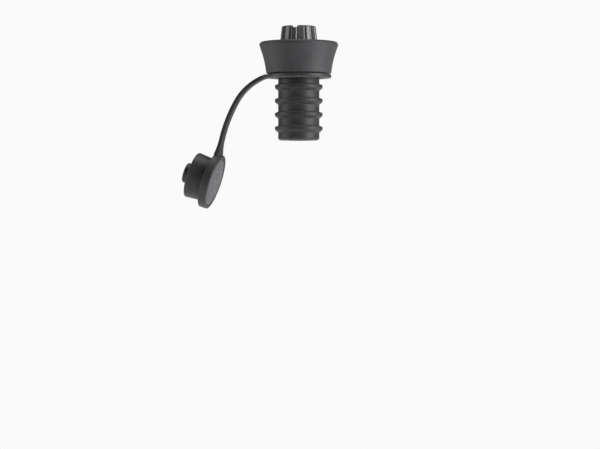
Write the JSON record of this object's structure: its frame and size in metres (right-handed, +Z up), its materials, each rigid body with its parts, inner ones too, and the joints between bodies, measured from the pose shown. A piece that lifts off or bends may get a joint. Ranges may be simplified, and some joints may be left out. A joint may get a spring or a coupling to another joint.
{
  "type": "bottle stopper",
  "caption": "Dark grey wine bottle stopper: finned sleeve, flared collar with a fluted pouring crown, and a sealing cap on a soft tether.",
  "frame": {"origin": "on the stopper's axis, at the plane where the tether ring rests on the bottle's lip", "axes": "+Z up along the stopper's axis, out of the bottle; the tether leaves toward -X and hangs in the XZ plane"},
  "size_m": [0.0639, 0.0318, 0.0735],
  "materials": {
    "collar_silicone": "matt dark grey",
    "tether_silicone": "satin dark grey",
    "sleeve_silicone": "matt near-black",
    "crown_gloss": "polished near-black",
    "body_plastic": "fine matt",
    "plug_black": "satin black",
    "seal_rubber": "matt black",
    "screen_steel": "etched stainless",
    "badge_satin": "fine turned satin"
  },
  "bodies": {
    "stopper": {"collar": "collar_silicone", "collar_base": "body_plastic", "crown": "crown_gloss", "bore_seal": "seal_rubber", "stem_tube": "body_plastic", "filter_screen": "screen_steel", "screen_retainer": "body_plastic", "plug_sleeve": "sleeve_silicone"},
    "ring": {"tether_ring": "tether_silicone"},
    "link_01": {"strap_link_01": "tether_silicone"},
    "link_02": {"strap_link_02": "tether_silicone"},
    "link_03": {"strap_link_03": "tether_silicone"},
    "link_04": {"strap_link_04": "tether_silicone"},
    "link_05": {"strap_link_05": "tether_silicone"},
    "link_06": {"strap_link_06": "tether_silicone"},
    "link_07": {"strap_link_07": "tether_silicone"},
    "cap": {"cap_flange": "tether_silicone", "cap_cup": "tether_silicone", "cap_plug": "plug_black", "cap_badge": "badge_satin"}
  },
  "joints": [
    {"name": "tether_swivel", "type": "hinge", "parent": "stopper", "child": "ring", "pos_m": [0, 0, 0.00075], "axis": [0, 0, 1], "continuous": true},
    {"name": "strap_bend_01", "type": "hinge", "parent": "ring", "child": "link_01", "pos_m": [-0.01444, 0, 0.00039], "axis": [0, 1, 0], "range_deg": [0, 35.46], "stiffness_Nm_per_rad": 0.003, "springref_deg": 12.38},
    {"name": "strap_bend_02", "type": "hinge", "parent": "link_01", "child": "link_02", "pos_m": [-0.01897, 0, -0.00205], "axis": [0, 1, 0], "range_deg": [0, 41.05], "stiffness_Nm_per_rad": 0.003, "springref_deg": 9.94},
    {"name": "strap_bend_03", "type": "hinge", "parent": "link_02", "child": "link_03", "pos_m": [-0.02282, 0, -0.00546], "axis": [0, 1, 0], "range_deg": [0, 43.14], "stiffness_Nm_per_rad": 0.003, "springref_deg": 7.89},
    {"name": "strap_bend_04", "type": "hinge", "parent": "link_03", "child": "link_04", "pos_m": [-0.0258, 0, -0.00965], "axis": [0, 1, 0], "range_deg": [0, 40.95], "stiffness_Nm_per_rad": 0.003, "springref_deg": 6.33},
    {"name": "strap_bend_05", "type": "hinge", "parent": "link_04", "child": "link_05", "pos_m": [-0.02812, 0, -0.01426], "axis": [0, 1, 0], "range_deg": [0, 34.84], "stiffness_Nm_per_rad": 0.003, "springref_deg": 5.13},
    {"name": "strap_bend_06", "type": "hinge", "parent": "link_05", "child": "link_06", "pos_m": [-0.03002, 0, -0.01905], "axis": [0, 1, 0], "range_deg": [0, 26.75], "stiffness_Nm_per_rad": 0.003, "springref_deg": 4.16},
    {"name": "strap_bend_07", "type": "hinge", "parent": "link_06", "child": "link_07", "pos_m": [-0.03149, 0, -0.02398], "axis": [0, 1, 0], "range_deg": [0, 18.57], "stiffness_Nm_per_rad": 0.003, "springref_deg": 3.41},
    {"name": "strap_bend_08", "type": "hinge", "parent": "link_07", "child": "cap", "pos_m": [-0.0327, 0, -0.029], "axis": [0, 1, 0], "range_deg": [0, 11.04], "stiffness_Nm_per_rad": 0.003, "springref_deg": 2.81}
  ]
}
